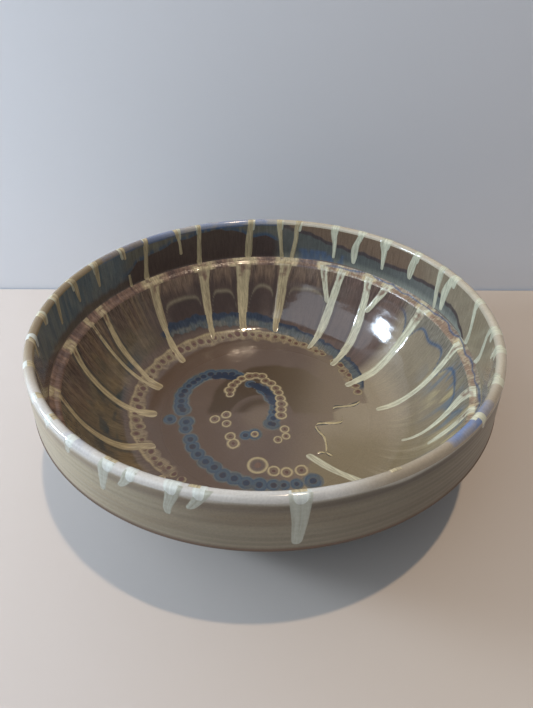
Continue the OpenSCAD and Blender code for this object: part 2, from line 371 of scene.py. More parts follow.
def map_range(tree, value, *ends):
    """Turns values between the first two ends into values between the last two."""
    node = tree.nodes.new("ShaderNodeMapRange")
    for socket, end in zip(("From Min", "From Max", "To Min", "To Max"), ends):
        node.inputs[socket].default_value = end
    tree.links.new(value, node.inputs["Value"])
    return node.outputs["Result"]


def part(tree, vector, axis):
    node = tree.nodes.new("ShaderNodeSeparateXYZ")
    tree.links.new(vector, node.inputs["Vector"])
    return node.outputs[axis]


def two_colours(tree, bsdf, factor, first, second):
    """Colours the shader between two colours by a factor from 0 to 1."""
    node = tree.nodes.new("ShaderNodeMix")
    node.data_type = "RGBA"
    node.inputs["A"].default_value = (*first, 1)
    node.inputs["B"].default_value = (*second, 1)
    tree.links.new(factor, node.inputs["Factor"])
    tree.links.new(node.outputs["Result"], bsdf.inputs["Base Color"])


def glaze(name, rough=0.12, coat=0.3, speckle=0.08, wave=0.05, ripple=70, floor=0.0):
    """Glossy glaze: the painted tone, fine mottling, and fine streaks where the paint asks."""
    material, tree, bsdf = shader(name, rough, coat)
    tone = attribute(tree, "tone")
    flow = attribute(tree, "flow").outputs["Vector"]
    point = object_point(tree)
    if floor:
        # The third value of flow grows with the radius, so it tells the floor from the wall.
        where = part(tree, flow, "Z")
        for socket, low, high in (("Roughness", floor, rough), ("Coat Weight", 0.04, coat)):
            tree.links.new(map_range(tree, where, 13, 15, low, high), bsdf.inputs[socket])
    lines = map_range(tree, noise(tree, flow, 0.75, 4, 0.6), 0.3, 0.7, -0.8, 0.8)
    specks = map_range(tree, noise(tree, point, 800, 3, 0.6), 0.3, 0.7, -speckle, speckle)
    drawn = tree.nodes.new("ShaderNodeMath")
    drawn.operation = "MULTIPLY_ADD"
    tree.links.new(lines, drawn.inputs[0])
    tree.links.new(tone.outputs["Alpha"], drawn.inputs[1])
    tree.links.new(specks, drawn.inputs[2])
    level = tree.nodes.new("ShaderNodeMath")
    level.operation = "ADD"
    level.inputs[1].default_value = 1.0
    tree.links.new(drawn.outputs["Value"], level.inputs[0])
    scale = tree.nodes.new("ShaderNodeVectorMath")
    scale.operation = "SCALE"
    tree.links.new(tone.outputs["Color"], scale.inputs[0])
    tree.links.new(level.outputs["Value"], scale.inputs["Scale"])
    tree.links.new(scale.outputs["Vector"], bsdf.inputs["Base Color"])
    shape = tree.nodes.new("ShaderNodeBump")
    shape.inputs["Strength"].default_value = wave
    shape.inputs["Distance"].default_value = 0.001
    tree.links.new(noise(tree, point, ripple, 2), shape.inputs["Height"])
    tree.links.new(shape.outputs["Normal"], bsdf.inputs["Normal"])
    return material


def matt(name, colour):
    material, tree, bsdf = shader(name, 0.8, 0.0)
    two_colours(tree, bsdf, noise(tree, object_point(tree), 700, 5),
                [c * 0.85 for c in colour], [c * 1.15 for c in colour])
    return material


GLAZE = glaze("base_glaze")
LINER = glaze("liner_glaze", wave=0.11, ripple=170, floor=0.32)
LEDGE_GLAZE = glaze("ledge_glaze", rough=0.24, coat=0.12, wave=0.8, ripple=360)
GLAZE_OUT = glaze("outer_glaze", rough=0.3, coat=0.12, speckle=0.1, wave=0.08)
POUR = glaze("poured_glaze", rough=0.14, speckle=0.06)
TRAIL = glaze("trailed_glaze", rough=0.14, speckle=0.1)
CLAY = matt("bare_clay", (0.15, 0.10, 0.07))

# ---------------------------------------------------------------- glaze colours
CREAM, WHITE = rgb(180, 166, 132), rgb(190, 188, 164)
FAWN, STRAW, YELLOW = rgb(152, 141, 116), rgb(136, 121, 97), rgb(172, 158, 122)
TAUPE, BROWN, UMBER, RUST = rgb(100, 86, 77), rgb(90, 73, 64), rgb(64, 53, 49), rgb(94, 68, 60)
OLIVE, TAN, MOSS = rgb(98, 88, 73), rgb(142, 130, 110), rgb(124, 112, 88)
SLATE, BLUE, NAVY, SKY = rgb(52, 64, 70), rgb(74, 88, 100), rgb(50, 58, 74), rgb(84, 116, 166)
PALE, STONE = rgb(174, 163, 143), rgb(119, 110, 92)

# Where the tan glaze of the right-hand side begins on the floor: (back, right) pairs.
TAN_EDGE = ([-110, -60, -45, -30, -19, -14, -10, 0, 10], [20, 36, 50, 51, 44, 50, 62, 62, 76])
# How far the painted reflection at the back of the collar hangs from the lip: (angle, millimetres).
HANG = ([80, 85, 90, 96, 98, 104, 112, 122, 130, 137, 143], [30, 24, 19, 20, 13, 10, 10, 12, 18, 20, 30])
# Where the dark line runs on the right of the collar, below the painted reflection: (angle, millimetres
# below the lip).
SICKLE = ([5, 8, 12, 16, 28, 50, 60, 66, 72, 78, 85], [44, 38, 31, 26, 23, 24, 22, 19, 14, 10, 5])


# ---------------------------------------------------------------- the poured runs
# Each run: (radius from above, angle, width) from the ledge down to its tip.
WALL_RUNS = [
    [(168, 4.5, 12), (160, 4.5, 7), (131, 4.5, 6), (111, 3, 7), (101, 1.5, 4)],
    [(168, 25, 14), (155, 26, 10), (131, 27, 9), (107, 26.5, 10), (96, 25.5, 9), (85, 25, 7)],
    [(168, 50, 11), (158, 49, 8), (148, 48, 10), (132, 47, 10), (116, 46.5, 9.5), (94, 45, 6.5)],
    [(168, 42, 11), (160, 43, 8), (150, 46.5, 6)],
    [(168, 60.5, 10), (158, 61, 8), (147, 62, 10), (132, 62.5, 10), (112, 64, 7), (104, 64.5, 5)],
    [(168, 68, 10), (158, 66.5, 7), (148, 63.5, 6)],
    [(168, 82, 16), (157, 83, 12), (142, 84, 11), (130, 85, 9), (120, 85, 7)],
    [(168, 98.5, 20), (156, 99, 15), (144, 100, 12), (130, 101, 10), (121, 101, 7)],
    [(168, 113.5, 17), (157, 114.5, 11), (144, 115.5, 9), (130, 116.5, 7.5), (120, 117.5, 5)],
    [(168, 133.5, 16), (158, 135, 10), (148, 136, 9), (138, 137, 7), (125, 138, 9), (108, 139.5, 8)],
    [(166, 157, 6), (149, 158.5, 7), (129, 158.5, 6), (109, 161.5, 8), (103, 162, 7)],
    [(166, 164, 4), (140, 163, 4), (122, 162.5, 5), (104, 163.5, 5)],
    [(167, 176, 9), (156, 178.5, 7), (128, 180, 7), (108, 181.5, 10), (97, 182.5, 9)],
    [(168, 197, 8), (152, 201, 7), (132, 202.5, 9), (111, 202.5, 9), (101, 204.5, 9)],
    [(168, 221, 9), (140, 222, 9), (108, 223, 6)],
    [(168, 240, 11), (135, 240, 9), (100, 239, 7)],
    [(168, 258, 11), (140, 258, 9), (113, 259, 5)],
    [(168, 276, 11), (135, 276, 9), (104, 275, 6)],
    [(168, 294, 11), (140, 295, 9), (111, 296, 5)],
    [(168, 318, 9), (130, 316, 7), (107, 313.5, 6.5), (82, 308.5, 6.5), (74, 307.5, 8), (61, 305, 7)],
    [(168, 337, 8), (158, 336, 8), (148, 336, 7), (141, 335.5, 4)],
    [(168, 344, 14), (158, 345.5, 12), (150, 344.5, 8), (136, 342.5, 4), (121, 341.5, 3)],
]
# Each run: (millimetres below the top of the lip, angle, width).
COLLAR_RUNS = [
    [(0, 5, 7), (20, 4, 5), (32, 3.5, 4.5), (44, 4, 6)],
    [(0, 17.5, 8), (15, 19.5, 9), (22, 20, 10), (30, 20, 7), (40, 20, 4)],
    [(0, 23.5, 8), (22, 23.5, 6), (43, 23, 4)],
    [(0, 34, 8), (22, 35.5, 9), (31, 35.5, 4)],
    [(0, 47, 11), (8, 47, 10), (15, 46.5, 7), (34, 46.5, 3)],
    [(0, 55, 7), (15, 57, 7), (22, 57.5, 9), (30, 57.5, 8), (38, 57.5, 4)],
    [(0, 65.5, 8), (10, 65.5, 8), (20, 65, 5), (37, 65, 3)],
    [(0, 78, 8), (10, 79, 6), (20, 79, 5), (44, 80.5, 6)],
    [(0, 85, 8), (10, 85, 6), (25, 84.5, 4), (44, 84, 5)],
    [(0, 95, 8), (12, 95.5, 7), (25, 96, 9), (44, 96.5, 8)],
    [(0, 113.5, 5), (20, 114, 5), (38, 114.5, 6), (44, 114.5, 9)],
    [(0, 122, 6), (17, 121, 3), (29, 121, 4)],
    [(0, 133, 6), (8, 133.5, 7), (18, 134, 5), (36, 135, 6), (44, 135, 9)],
    [(0, 142.5, 7), (14, 142, 3)],
    [(30, 141.5, 3), (44, 141.5, 4)],
    [(0, 153.5, 6), (8, 154, 7), (26, 154, 3)],
    [(0, 165, 7), (8, 164, 7), (26, 163.5, 3)],
    [(0, 173.5, 8), (10, 174, 6), (28, 174.5, 3)],
    [(0, 182.5, 7), (6, 183, 6), (12, 183, 3)],
    [(0, 193, 7), (8, 194.5, 6), (16, 195, 3)],
    [(0, 203, 8), (20, 203, 5), (36, 202.5, 5)],
    [(0, 215, 8), (12, 215.5, 6), (26, 215.5, 3)],
    [(0, 223, 8), (38, 222.5, 5)],
    [(0, 241, 10), (44, 240.5, 8)],
    [(0, 258, 8), (32, 258, 4)],
    [(0, 276, 12), (44, 276, 9)],
    [(0, 294, 8), (32, 294, 4)],
    [(0, 317, 8), (44, 318, 7)],
    [(0, 332, 8), (10, 335, 8), (26, 338.5, 4)],
    [(0, 343.5, 9), (6, 344, 8), (18, 346, 3)],
    [(0, 351.5, 8), (12, 353.5, 5), (34, 353.5, 6), (44, 355.5, 7)],
]
# Bars across the lip: (angle, width).
RIM_BARS = [
    (4.5, 9), (17, 8), (23.5, 9), (34, 9), (46, 11), (56, 8), (65, 8), (78, 8), (84.5, 7),
    (94.5, 7), (114, 6), (121, 7), (133.5, 6), (143, 7), (154.5, 7), (165, 7), (174, 8), (182, 8),
    (192, 8), (203, 8), (215, 8), (223, 9), (231, 9), (241, 11), (246, 8), (254, 11), (259, 9),
    (276, 14), (318, 8), (331, 9), (343, 9), (350.5, 9)]
# Runs down the outside: (millimetres below the lip's outer edge, angle, width).
OUTER_RUNS = [
    [(-5, 276, 15), (3, 276, 13), (14, 276, 10.5), (34, 275.5, 6.5)],
    [(-5, 241, 11), (3, 240, 9), (12, 239.5, 6), (20, 239, 3.5)],
    [(-5, 246, 9), (3, 245, 7), (9, 243.5, 5)],
    [(-5, 254.5, 11), (3, 254, 9), (12, 253, 6), (18, 253, 3.5)],
    [(-5, 260, 10), (3, 258.5, 8), (10, 257, 5.5)],
    [(-5, 231, 8), (3, 230.5, 6), (8, 230, 4)],
    [(-5, 223, 7), (5, 222.5, 4)],
    [(-5, 318, 7), (5, 318, 4)],
    [(-5, 343, 8), (7, 343, 4)],
    [(-5, 17, 8), (6, 17, 7), (18, 17, 5)],
    [(-5, 46, 9), (10, 46, 8), (26, 46, 6)],
    [(-5, 78, 8), (15, 78, 5)],
    [(-5, 114, 7), (22, 114, 5)],
    [(-5, 143, 8), (13, 143, 4)],
    [(-5, 174, 9), (26, 174, 6)],
    [(-5, 203, 8), (11, 203, 4)],
]


def wall_path(stations):
    """Radii turned into lengths along the section; a run starts on the ledge."""
    return [(float(s_of_r(r)) if r < 166 else S_WALL + 6.0, a, w) for r, a, w in stations]


RUN_PATHS = [smooth_path(wall_path(stations), 2.0)[1][::-1] for stations in WALL_RUNS]


def from_run(phi, s):
    """How far a point is from the nearest wall run, in half widths of that run."""
    best = np.full(np.shape(phi), 9.0)
    r = FACE.at(s)[0]
    for path in RUN_PATHS:
        t, a, w = path.T
        half = np.interp(s, t, w) / 2
        beyond = np.maximum(t[0] + half - s, 0)
        across = np.radians(degrees_from(phi, np.interp(s, t, a))) * r
        best = np.minimum(best, np.hypot(across, beyond) / half)
    return best


# ---------------------------------------------------------------- painting the base glazes
def paint_wall(phi, s, r, gap, soft, streak):
    """The wall between the runs: dark brown at the back, olive with slate patches on the left."""
    left = side(phi, 192, 50, 8)
    back = mix(BROWN, UMBER, 0.6 * ramp(soft + 0.5 * streak, -0.2, 0.7))
    back = mix(back * 1.12, back * 0.66, ramp(np.degrees(phi) % 360, 84, 95))
    wall = mix(back, mix(OLIVE * 1.1, MOSS * 1.1, ramp(0.7 * streak + soft, 0, 0.9)), left)
    patch = cloud(phi, s, 46, 11, 8)
    slate = bump(r + 9 * soft, 128, 15) * ramp(patch, 0.0, 0.35) * side(phi, 184, 30, 6)
    wall = mix(wall, SLATE, 0.9 * slate)
    wall = mix(wall, rgb(128, 110, 82), 0.5 * side(phi, 184, 40, 8) * ramp(-patch, 0.2, 0.5))
    browner = side(phi, 166, 34, 6) * ramp(r + 7 * streak + 4 * soft, 146, 153)
    wall = mix(wall, mix(rgb(92, 76, 68), rgb(116, 98, 80), ramp(streak, 0, 0.6)), 0.85 * browner)
    # Between two runs at the back the drips of the ledge end in a scalloped cream line.
    hang = 153.5 - 16 * np.exp(-np.maximum(gap - 1, 0) * 2.6) + 1.2 * field(phi, s * 0, 90, 9, 6)
    behind = side(phi, 99, 38, 4) * (1 - left)
    drips = mix(rgb(84, 68, 58), rgb(124, 103, 84), ramp(r + 5 * streak, 155, 161))
    wall = mix(wall, drips, 0.85 * behind * ramp(r, hang, hang + 1.5))
    wall = mix(wall, FAWN, 0.55 * bump(r, hang, 0.9) * behind)
    return mix(wall, mix(UMBER, SLATE, left), 0.6 * bump(gap, 1.35, 0.28) * ramp(r, 112, 118))


def paint_floor(tone, x, y, r, soft):
    """Adds a painted dark reflection round the middle of the floor, and the lighter right-hand side."""
    centre = np.hypot(x - SPIRAL_C[0], y - SPIRAL_C[1])
    # Painted reflection: a darker, browner patch round the middle of the floor and on its left, where
    # the glossy floor shows a dark reflection.
    dark_reflection = (1 - ramp(np.hypot(x - 9, y - 7) + 2 * soft, 58, 62)) * ramp(centre, 28, 30)
    dark_reflection = dark_reflection + bump(centre, 19, 6) * (1 - ramp(x, -4, 8))
    dark_reflection_tone = mix(rgb(72, 57, 40), rgb(86, 72, 53), ramp(x, -15, 25))
    tone = mix(tone, rgb(132, 117, 97), 0.35 * (1 - ramp(centre, 6, 26)))
    tone = mix(tone, dark_reflection_tone, 0.85 * dark_reflection * ramp(y, -6, 0) * (1 - 0.8 * ramp(x, 25, 70)))
    return mix(tone, rgb(132, 118, 98), 0.6 * ramp(x - 0.2 * y, 10, 62) * (1 - ramp(r, 98, 106)))


def paint_tan(phi, s, y, r, gap, soft, streak):
    """The tan glaze on the right, with blue and yellow flows and scallops under the ledge."""
    tone = mix(TAN, MOSS, ramp(-y + 15 * soft, 5, 60))
    tone = mix(tone, FAWN, 0.6 * ramp(streak, 0.1, 0.7) * ramp(r, 100, 120))
    tone = tone * (1 - 0.24 * side(phi, 4, 20, 10) * ramp(r, 118, 134))[..., None]
    flow = field(phi, s, 130, 30, 19) + 0.5 * field(phi, s, 300, 22, 20)
    near_ledge = ramp(r + 8 * soft, 128, 156) * side(phi, -18, 24, 8)
    tone = mix(tone, rgb(84, 102, 116), 0.7 * near_ledge * ramp(flow, 0.25, 0.6))
    tone = mix(tone, rgb(170, 158, 116), 0.6 * near_ledge * ramp(-flow, 0.3, 0.7))
    ear = 159 - 9 * np.exp(-np.maximum(gap - 1, 0) * 0.9) + 3 * field(phi, s * 0, 46, 9, 24)
    hung = side(phi, 15, 36, 4)
    tone = mix(tone, rgb(108, 104, 94), 0.7 * hung * ramp(r, ear, ear + 1.5))
    return mix(tone, rgb(58, 80, 104), 0.85 * hung * bump(r, ear, 0.8))


def paint_inside(phi, s):
    """Floor and wall inside: taupe floor, the glazes of the wall, and tan on the right."""
    r = FACE.at(s)[0]
    x, y = r * np.cos(phi), r * np.sin(phi)
    q = np.hypot(x - RING_C[0], y - RING_C[1])
    soft = cloud(phi, s, 40, 25, 5)
    streak = 0.5 * field(phi, s, 240, 60, 3) + 0.5 * field(phi, s, 560, 90, 4)
    gap = from_run(phi, s)
    tone = mix(TAUPE, paint_wall(phi, s, r, gap, soft, streak), ramp(q + 2 * soft, 111, 119))
    tone = mix(tone, TAUPE * 1.12, 0.6 * ramp(soft, 0, 0.8))
    # The left of the floor is a little warmer.
    warm = ramp(-x, 5, 55) * (1 - ramp(q, 108, 114))
    tone = paint_floor(mix(tone, tone * np.array([0.94, 0.88, 0.80]), warm), x, y, r, soft)
    tan = np.where(y < 11, ramp(x - np.interp(y, *TAN_EDGE), -0.8, 1.6),
                   ramp(q, 107.5, 110) * (1 - ramp(phi % TAU, 0.5, 0.62)))
    return mix(tone, paint_tan(phi, s, y, r, gap, soft, streak), tan)


def paint_ledge(phi, s):
    """Red-brown ledge with cream where the runs start, and blue scallops on the right."""
    streak = 0.6 * field(phi, s, 380, 30, 11) + 0.5 * field(phi, s, 120, 9, 12)
    tone = mix(rgb(96, 77, 69), rgb(134, 108, 91), ramp(streak, -0.5, 0.7))
    holes = ramp(field(phi, s, 210, 4.0, 14), 0.12, 0.4)
    cream = (1 - ramp(from_run(phi, s), 1.2, 1.9)) * (1 - 0.7 * holes)
    tone = mix(tone, FAWN, 0.35 * ramp(streak, 0.25, 0.8))
    tone = mix(tone, CREAM, 0.85 * cream)
    right = side(phi, 16, 50, 4)
    wave = 2.2 * field(phi, s * 0, 66, 9, 13) + 1.4 * field(phi, s * 0, 150, 9, 15)
    veins = bump(field(phi, s, 190, 4.5, 16) + 0.4 * field(phi, s, 420, 2.5, 17), 0, 0.2)
    cells = mix(rgb(132, 110, 90), FAWN * 1.1, 0.9 * veins)
    tone = mix(tone, cells, 0.8 * right * (1 - cream))
    line = bump(s, S_LEDGE - 2.2 - wave, 1.0 + 0.5 * field(phi, s * 0, 90, 9, 18))
    return mix(tone, rgb(56, 76, 102), 0.8 * line * right)


def paint_collar(phi, s):
    """Inside of the collar: a painted reflection hanging from the lip at the back, and on the right a
    lighter painted reflection down to a sickle-shaped dark line.
    """
    v = S_LIP_TOP - s
    deg = (np.degrees(phi) + 90) % 360 - 90
    soft = cloud(phi, s, 60, 18, 21)
    fine = field(phi, s, 320, 40, 23)
    drip = 1.3 * field(phi, s * 0, 180, 9, 22) + 1.5 * soft
    left = mix(rgb(96, 107, 112), rgb(112, 119, 118), ramp(fine, -0.3, 0.6))
    left = mix(left, rgb(96, 88, 82), ramp(v + drip, 31, 37))
    # At the back a painted reflection hangs from the lip down to the dark brown glaze, turning bluer
    # just above its lower edge.
    hang = np.interp(deg, *HANG)
    painted_reflection = mix(rgb(100, 99, 90), rgb(70, 86, 104), ramp(v + drip, hang - 6, hang - 1))
    painted_reflection = mix(painted_reflection, rgb(118, 114, 98), 0.6 * ramp(fine, 0.1, 0.7))
    back = mix(painted_reflection, rgb(78, 66, 62), ramp(v + drip, hang - 0.6, hang + 0.8))
    # On the right a lighter painted reflection covers the collar down to a dark line.
    top = np.interp(deg, *SICKLE)
    right = mix(rgb(110, 91, 75), rgb(134, 122, 102), ramp(deg, 42, 14))
    right = mix(right, rgb(74, 66, 65), ramp(v + drip, top - 1.0, top + 0.6))
    low = mix(rgb(86, 88, 84), rgb(112, 114, 105), ramp(v, 34, 41))
    low = mix(low * 1.35, low, ramp(deg, 30, 46))
    blots = ramp(soft + 0.5 * fine, 0, 0.5) * side(phi, 74, 13, 3) * ramp(v, 29, 33)
    low = mix(low, rgb(70, 90, 118), 0.7 * blots)
    right = mix(right, low, ramp(v + drip, top + 3.0, top + 4.5))
    tone = mix(mix(right, back, ramp(deg, 83, 88)), left, ramp(deg, 139, 146))
    return mix(tone, rgb(132, 120, 98), (1 - ramp(deg, 2, 7)) * ramp(deg, -75, -55))


def paint_rim(phi, s):
    soft = cloud(phi, s, 120, 9, 31)
    tone = mix(PALE, rgb(135, 119, 92), side(phi, 165, 40, 12))
    tone = mix(tone, rgb(186, 182, 175), side(phi, 250, 42, 12))
    tone = mix(tone, rgb(150, 137, 117), side(phi, 308, 20, 8))
    return tone * (1 + 0.08 * soft[..., None])


def paint_outer(phi, s):
    v = s - S_LIP_OUT
    lines = 0.6 * field(phi, s, 16, 1.1, 41) + field(phi * 0, s, 5, 1.6, 42)
    tone = mix(STONE * 1.06, STONE * 0.86, ramp(lines, -0.7, 1.0))
    tone = mix(tone, rgb(104, 88, 68), 0.5 * ramp(cloud(phi, s, 12, 14, 43), -0.1, 0.6))
    tone = mix(tone, rgb(92, 80, 68), 0.6 * bump(v, 5, 2.5))
    # Painted light and shade: the outside is painted darker on the right and front right, and much
    # lighter from the left round to the front left, where the window light falls.
    tone = mix(tone * 1.12, tone * 0.62, side(phi, 332, 42, 26))
    tone = mix(tone, tone * np.array([1.75, 1.78, 1.75]), side(phi, 210, 32, 24))
    tone = mix(tone, rgb(72, 64, 56), 0.6 * bump(v, 4, 2.5) * side(phi, 294, 20, 12))
    lip = rgb(176, 170, 158)
    tone = mix(tone, lip, 0.9 * (1 - ramp(v + 1.2 * field(phi, s * 0, 50, 9, 44), 0.2, 2.8)))
    return mix(tone, rgb(94, 78, 64), ramp(v, 35, 37.5))


def paint_under(phi, s):
    lines = field(phi * 0, s, 5, 1.6, 61)
    return mix(STONE * 0.85, STONE * 0.65, ramp(lines, -0.5, 0.8))


def base_tone(phi, s):
    """The colour of the base glazes anywhere on the face of the bowl."""
    out = np.zeros((*np.shape(s), 3))
    start = -1.0
    for end, paint in ((S_WALL, paint_inside), (S_LEDGE, paint_ledge), (S_LIP_IN, paint_collar),
                       (S_LIP_OUT, paint_rim), (S_END + 1, paint_outer)):
        here = (s > start) & (s <= end)
        out[here] = paint(phi[here], s[here])
        start = end
    return out


def base_tone_at(x, y):
    return base_tone(np.arctan2(y, x), s_of_r(np.hypot(x, y)))


# ---------------------------------------------------------------- clay
def revolve(name, node, outline, around):
    """A clay piece turned from an outline of (radius, height) points."""
    piece = Patches(name, node, "bare_clay", CLAY)
    p = np.array(outline, float)
    phi, r = np.meshgrid(np.arange(around) / around * TAU, p[:, 0], indexing="ij")
    z = np.repeat(p[None, :, 1], around, 0)
    piece.add(np.stack([r * np.cos(phi), r * np.sin(phi), z], -1), closed=True)
    piece.build()


def under_curve(n):
    """The lower wall outside: the wall inside, moved out by the thickness of the clay."""
    x = np.linspace(0.98, 0.12, n)
    p = np.stack([FLOOR_R + (WALL_R - FLOOR_R) * x,
                  FLOOR_Z + (WALL_Z - FLOOR_Z) * x ** WALL_POW], -1)
    slope = WALL_POW * (WALL_Z - FLOOR_Z) / (WALL_R - FLOOR_R) * x ** (WALL_POW - 1)
    out = np.stack([slope, -np.ones(n)], -1) / np.hypot(slope, 1)[:, None]
    return p + (BASE_T + 0.5 * x * x)[:, None] * out


UNDER = Section(np.concatenate([[(EDGE_R - 0.9, EDGE_Z - 1.4)], under_curve(30)]), 1.5)
TOP = FLOOR_Z - BASE_T


def clay_outline():
    inner = [FACE.at(s, -0.5) for s in np.arange(0, S_LIP_OUT, 4.0)]
    outer = [FACE.at(s, -0.5) for s in np.arange(S_LIP_OUT, S_END, 3.0)]
    edge = [(EDGE_R - 0.35, EDGE_Z + 0.9), (EDGE_R, EDGE_Z + 0.1), (EDGE_R - 0.5, EDGE_Z - 1.0)]
    below = [UNDER.at(s, -0.5) for s in np.arange(2, UNDER.s[-1], 4.0)]
    base = [UNDER.at(UNDER.s[-1], -0.2), (FOOT_R + 4, TOP), (0.01, TOP)]
    return inner + outer + edge + below + base


revolve("clay_body", "clay_bowl", clay_outline(), 360)
revolve("turned_foot", "foot_ring", [
    (FOOT_R - FOOT_W - 3, TOP + 0.2), (FOOT_R - FOOT_W - 1.2, 1.6), (FOOT_R - FOOT_W - 0.4, 0.4),
    (FOOT_R - FOOT_W + 0.8, 0), (FOOT_R - 1.0, 0), (FOOT_R - 0.2, 0.5), (FOOT_R, 1.6),
    (FOOT_R + 0.6, TOP - 1), (FOOT_R + 2.5, TOP + 0.3)], 240)


# ---------------------------------------------------------------- base glaze skins
def skin(name, node, slot, s, around, paint, material, streak=None, marks=None, section=FACE):
    phi, s = np.meshgrid(np.arange(around) / around * TAU, s, indexing="ij")
    piece = Patches(name, node, slot, material)
    h = marks(phi, s) if marks else 0.0
    piece.add(on_section(phi, s, h, section), four(paint(phi, s), streak(phi, s) if streak else 0.0),
              closed=True)
    piece.build()


def wall_streaks(phi, s):
    """The streaks grow up the wall, and are stronger on the left."""
    return ramp(s, 104, 120) * (0.12 + 0.4 * ramp(s, s_of_r(150), S_WALL)
                                + 0.2 * side(phi, 190, 50))


# Rows lie close together on the spiral at the middle of the floor, and on the wall.
inside_steps = np.concatenate([np.arange(0.05, 30, 0.8), np.arange(30, 98, 2.2),
                               np.linspace(98, S_WALL, 96)])
skin("liner_skin", "liner_glaze", "taupe_glaze", inside_steps, 720, paint_inside, LINER,
     wall_streaks)
skin("ledge_skin", "ledge_glaze", "red_brown_glaze", np.linspace(S_WALL, S_LEDGE, 24), 1200,
     paint_ledge, LEDGE_GLAZE, lambda phi, s: 0.4)
skin("collar_skin", "collar_glaze", "dark_glaze", np.linspace(S_LEDGE, S_LIP_IN, 60), 1200,
     paint_collar, GLAZE, lambda phi, s: 0.2)
skin("rim_skin", "rim_glaze", "pale_glaze", np.linspace(S_LIP_IN, S_LIP_OUT, 16), 720, paint_rim,
     GLAZE)
skin("outer_skin", "outer_glaze", "olive_glaze", np.linspace(S_LIP_OUT, S_END, 60), 720,
     paint_outer, GLAZE_OUT)
skin("under_skin", "under_glaze", "olive_glaze", np.linspace(0.4, UNDER.s[-1], 60), 480,
     paint_under, GLAZE_OUT, marks=lambda phi, s: 0.06 * np.sin(s * 1.2 + phi), section=UNDER)


# ---------------------------------------------------------------- poured runs
def run_paint(light, dark, seed, top=0.0):
    """Streaky cream; with top, brown spots as far down as top and a darker loop at the tip."""
    def paint(u, along, left):
        fine = (0.6 * field(u * 1.1 + 1.5, along, 34, 22, seed)
                + 0.4 * field(u + 1.5, along, 80, 40, seed + 1))
        tone = mix(light, dark, 0.65 * ramp(fine, -0.15, 0.75))
        if top:
            hole = bump(u, 0.1 * math.sin(seed), 0.3) * bump(along, 10, 4.5)
            spots = ramp(field(u * 0.7 + 1.5, along, 14, 3.2, seed + 2), 0.2, 0.5)
            spots = spots * (1 - ramp(along, top, top + 8))
            tone = mix(tone, rgb(118, 92, 78), np.clip(0.9 * hole + 0.5 * spots, 0, 0.9))
            loop = ramp(left, 15, 4) * (1 - ramp(np.abs(u), 0.25, 0.6))
            tone = mix(tone, dark, 0.55 * loop)
        return tone
    return paint


def runs(name, node, table, where, height, light, seed, top=0.0, tips=(False, True), ragged=0.08,
         streak=0.35):
    piece = Patches(name, node, "cream_glaze", POUR)
    for k, stations in enumerate(table):
        paint = run_paint(*light(stations[0][1]), seed + 10 * k, top)
        ribbon(piece, where(stations), height, paint, base_tone, seed + 10 * k, tips=tips,
               ragged=ragged, streak=streak)
    piece.build()


def cream_light(a):
    right = 1.0 if a < 75 or a > 300 else 0.0
    return mix(CREAM, WHITE, right), mix(rgb(128, 112, 90), rgb(150, 142, 120), right)


def bar_path(bar):
    """A bar across the lip, from a little way down inside to just past the outer edge."""
    a, w = bar[0][1], bar[0][2]
    return [(S_LIP_IN - 7, a, w * 0.45), (S_LIP_IN - 2, a, w * 0.75), (S_LIP_TOP, a, w),
            (S_LIP_OUT - 1, a, w * 0.9), (S_LIP_OUT + 2, a, w * 0.6)]


def bar_light(a):
    front = 1.0 if 190 < a < 312 else 0.0
    return mix(WHITE, rgb(196, 200, 193), front), mix(rgb(170, 164, 146), rgb(186, 186, 176), front)


runs("poured_wall_runs", "cream_wall_runs", WALL_RUNS, wall_path, 0.26, cream_light, 1000, top=14)
runs("poured_collar_runs", "cream_collar_runs", COLLAR_RUNS,
     lambda stations: [(S_LIP_TOP - v, a, w) for v, a, w in stations], 0.2, cream_light, 2000)
runs("lip_bars", "cream_rim_bars", [[(0, a, w)] for a, w in RIM_BARS], bar_path, 0.16,
     bar_light, 3000, tips=(True, True), streak=0.15)
runs("poured_outer_runs", "cream_outer_runs", OUTER_RUNS,
     lambda stations: [(S_LIP_OUT + v, a, w) for v, a, w in stations], 0.14,
     lambda a: (rgb(166, 167, 153), rgb(146, 145, 129)), 4000, ragged=0.03, streak=0.08)


# ---------------------------------------------------------------- blue washes and bands
def wash(patches, a0, a1, strength, seed):
    """A thin blue film over the lip between two angles."""
    phi, u = np.meshgrid(np.radians(np.arange(a0, a1, 0.4)), np.linspace(0, 1, 15), indexing="ij")
    t = (phi - phi.min()) / np.ptp(phi)
    s = S_LIP_IN - 2.5 + u * (S_LIP_OUT - S_LIP_IN + 2.0)
    ends = ramp(t, 0, 0.12) * (1 - ramp(t, 0.88, 1)) * ramp(u, 0, 0.12) * (1 - ramp(u, 0.85, 1))
    patchy = ramp(cloud(phi, s, 90, 7, seed), -0.35, 0.35)
    tone = mix(base_tone(phi, s), SKY, ends * strength * (0.35 + 0.65 * patchy))
    patches.add(on_section(phi, s, -0.05 + 0.14 * ends), four(tone, 0.1))


washes = Patches("blue_lip_wash", "blue_rim_wash", "blue_glaze", GLAZE)
wash(washes, 79, 155, 0.6, 71)
wash(washes, 306, 325, 0.75, 72)
wash(washes, 228, 238, 0.25, 73)
washes.build()


